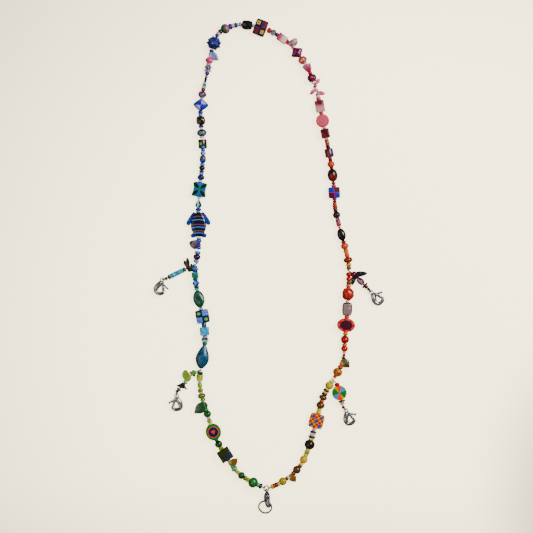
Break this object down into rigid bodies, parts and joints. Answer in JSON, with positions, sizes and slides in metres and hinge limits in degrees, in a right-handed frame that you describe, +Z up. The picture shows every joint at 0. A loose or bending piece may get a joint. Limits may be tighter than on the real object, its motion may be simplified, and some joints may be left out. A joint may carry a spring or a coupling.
{
  "type": "eyeglasses chain strap",
  "caption": "Beaded neck strap for glasses: a closed loop of mixed beads graded through the rainbow, with side drops that end in lobster clasps, and a split ring.",
  "frame": {"origin": "middle of the strap's outline, on the surface it lies on", "axes": "+Z up from the surface, +Y along the loop towards its top, away from the bottom clasp, +X to the right of the strap seen from above"},
  "size_m": [0.1922, 0.4194, 0.0122],
  "materials": {
    "thread": "clear",
    "steel": "polished",
    "gunmetal": "dark plated",
    "indigo": "polished",
    "violet": "satin",
    "navy": "polished",
    "blue": "polished",
    "sky": "satin",
    "teal": "fluted",
    "turquoise": "polished",
    "green": "satin",
    "lime": "polished",
    "yellow": "polished",
    "orange": "satin",
    "red": "polished",
    "crimson": "satin",
    "pink": "polished"
  },
  "bodies": {
    "bottom_clasp": {"bottom_clasp_body": "steel"},
    "bottom_lever": {"bottom_clasp_lever": "steel"},
    "lower_left_arm": {"blue_cross_tile": "sky", "blue_quarter_tile": "blue", "closing_ring": "gunmetal", "left_end_loop": "gunmetal", "lower_left_beads_1": "navy", "lower_left_beads_2": "blue", "lower_left_beads_3": "sky", "lower_left_beads_4": "turquoise", "lower_left_beads_5": "turquoise", "lower_left_beads_6": "lime", "lower_left_beads_7": "green", "lower_left_thread": "thread", "striped_fish": "navy", "target_disc": "green", "teal_oval": "teal"},
    "lower_left_clasp": {"lower_left_clasp_body": "gunmetal"},
    "lower_left_drop": {"black_bird": "gunmetal", "lime_petal": "lime", "lower_left_drop_wire": "gunmetal", "lower_left_jump_ring": "gunmetal"},
    "lower_left_lever": {"lower_left_clasp_lever": "gunmetal"},
    "lower_right_arm": {"lower_right_beads_1": "yellow", "lower_right_beads_2": "yellow", "lower_right_thread": "thread", "millefiori_square": "orange", "right_end_loop": "gunmetal"},
    "lower_right_clasp": {"lower_right_clasp_body": "gunmetal"},
    "lower_right_drop": {"lower_right_drop_wire": "gunmetal", "lower_right_jump_ring": "gunmetal", "pinwheel_coin": "orange"},
    "lower_right_lever": {"lower_right_clasp_lever": "gunmetal"},
    "split_ring_body": {"split_ring": "steel"},
    "upper_left_arm": {"blue_puffy_diamond": "blue", "clay_square_tile": "violet", "upper_left_beads_1": "indigo", "upper_left_beads_2": "navy", "upper_left_thread": "thread"},
    "upper_left_clasp": {"upper_left_clasp_body": "steel"},
    "upper_left_drop": {"dragonfly_tail": "turquoise", "dragonfly_wings": "gunmetal", "upper_left_drop_wire": "gunmetal", "upper_left_jump_ring": "gunmetal"},
    "upper_left_lever": {"upper_left_clasp_lever": "steel"},
    "upper_right_arm": {"checker_tile": "violet", "clay_oval_disc": "crimson", "swirl_coin": "pink", "upper_right_beads_1": "pink", "upper_right_beads_2": "crimson", "upper_right_beads_3": "red", "upper_right_beads_4": "red", "upper_right_beads_5": "orange", "upper_right_thread": "thread"},
    "upper_right_clasp": {"upper_right_clasp_body": "steel"},
    "upper_right_drop": {"angel_body": "crimson", "angel_wings": "gunmetal", "upper_right_drop_wire": "gunmetal", "upper_right_jump_ring": "gunmetal"},
    "upper_right_lever": {"upper_right_clasp_lever": "steel"}
  },
  "joints": [
    {"name": "strand_top_bend", "type": "hinge", "parent": "upper_left_arm", "child": "upper_right_arm", "pos_m": [-0.00155, 0.20111, 0.0023], "axis": [0, 0, 1], "range_deg": [-18, 18]},
    {"name": "strand_left_bend", "type": "hinge", "parent": "upper_left_arm", "child": "lower_left_arm", "pos_m": [-0.05645, 0.10831, 0.0033], "axis": [0, 0, 1], "range_deg": [-18, 18]},
    {"name": "strand_right_bend", "type": "hinge", "parent": "upper_right_arm", "child": "lower_right_arm", "pos_m": [0.05505, -0.09469, 0.0026], "axis": [0, 0, 1], "range_deg": [-18, 18]},
    {"name": "upper_left_drop_swing", "type": "hinge", "parent": "lower_left_arm", "child": "upper_left_drop", "pos_m": [-0.06205, 0.00211, 0.0024], "axis": [0, 0, 1], "range_deg": [-30, 2]},
    {"name": "upper_left_clasp_swing", "type": "hinge", "parent": "upper_left_drop", "child": "upper_left_clasp", "pos_m": [-0.09042, -0.01113, 0.0024], "axis": [0, 0, 1], "range_deg": [-35, 35]},
    {"name": "upper_left_lever_press", "type": "hinge", "parent": "upper_left_clasp", "child": "upper_left_lever", "pos_m": [-0.08991, -0.01486, 0.0024], "axis": [0, 0, 1], "range_deg": [-28, 0], "stiffness_Nm_per_rad": 0.0005},
    {"name": "lower_left_drop_swing", "type": "hinge", "parent": "lower_left_arm", "child": "lower_left_drop", "pos_m": [-0.05805, -0.08799, 0.0024], "axis": [0, 0, 1], "range_deg": [-20, 10]},
    {"name": "lower_left_clasp_swing", "type": "hinge", "parent": "lower_left_drop", "child": "lower_left_clasp", "pos_m": [-0.07822, -0.10926, 0.0024], "axis": [0, 0, 1], "range_deg": [-35, 20]},
    {"name": "lower_left_lever_press", "type": "hinge", "parent": "lower_left_clasp", "child": "lower_left_lever", "pos_m": [-0.07956, -0.11278, 0.0024], "axis": [0, 0, -1], "range_deg": [-28, 0], "stiffness_Nm_per_rad": 0.0005},
    {"name": "upper_right_drop_swing", "type": "hinge", "parent": "upper_right_arm", "child": "upper_right_drop", "pos_m": [0.06795, -0.00369, 0.0024], "axis": [0, 0, 1], "range_deg": [0, 35]},
    {"name": "upper_right_clasp_swing", "type": "hinge", "parent": "upper_right_drop", "child": "upper_right_clasp", "pos_m": [0.08683, -0.02179, 0.0024], "axis": [0, 0, 1], "range_deg": [-35, 35]},
    {"name": "upper_right_lever_press", "type": "hinge", "parent": "upper_right_clasp", "child": "upper_right_lever", "pos_m": [0.09027, -0.02334, 0.0024], "axis": [0, 0, 1], "range_deg": [-28, 0], "stiffness_Nm_per_rad": 0.0005},
    {"name": "lower_right_drop_swing", "type": "hinge", "parent": "lower_right_arm", "child": "lower_right_drop", "pos_m": [0.05425, -0.09589, 0.0024], "axis": [0, 0, 1], "range_deg": [-6, 30]},
    {"name": "lower_right_clasp_swing", "type": "hinge", "parent": "lower_right_drop", "child": "lower_right_clasp", "pos_m": [0.06534, -0.12197, 0.0024], "axis": [0, 0, 1], "range_deg": [-35, 35]},
    {"name": "lower_right_lever_press", "type": "hinge", "parent": "lower_right_clasp", "child": "lower_right_lever", "pos_m": [0.06795, -0.12469, 0.0024], "axis": [0, 0, 1], "range_deg": [-28, 0], "stiffness_Nm_per_rad": 0.0005},
    {"name": "bottom_clasp_swing", "type": "hinge", "parent": "lower_left_arm", "child": "bottom_clasp", "pos_m": [-0.00183, -0.19006, 0.0051], "axis": [0, 0, 1], "range_deg": [-20, 20]},
    {"name": "bottom_lever_press", "type": "hinge", "parent": "bottom_clasp", "child": "bottom_lever", "pos_m": [-0.00107, -0.1942, 0.00675], "axis": [-0.9787, -0.1098, 0.1736], "range_deg": [-28, 0], "stiffness_Nm_per_rad": 0.0005},
    {"name": "split_ring_swing", "type": "hinge", "parent": "bottom_clasp", "child": "split_ring_body", "pos_m": [-0.00096, -0.19926, 0.00415], "axis": [0, 0, 1], "range_deg": [-4, 8]}
  ],
  "couplings": [
    {"joint": "strand_left_bend", "follows": "strand_top_bend", "ratio": 1},
    {"joint": "strand_right_bend", "follows": "strand_top_bend", "ratio": -1}
  ]
}
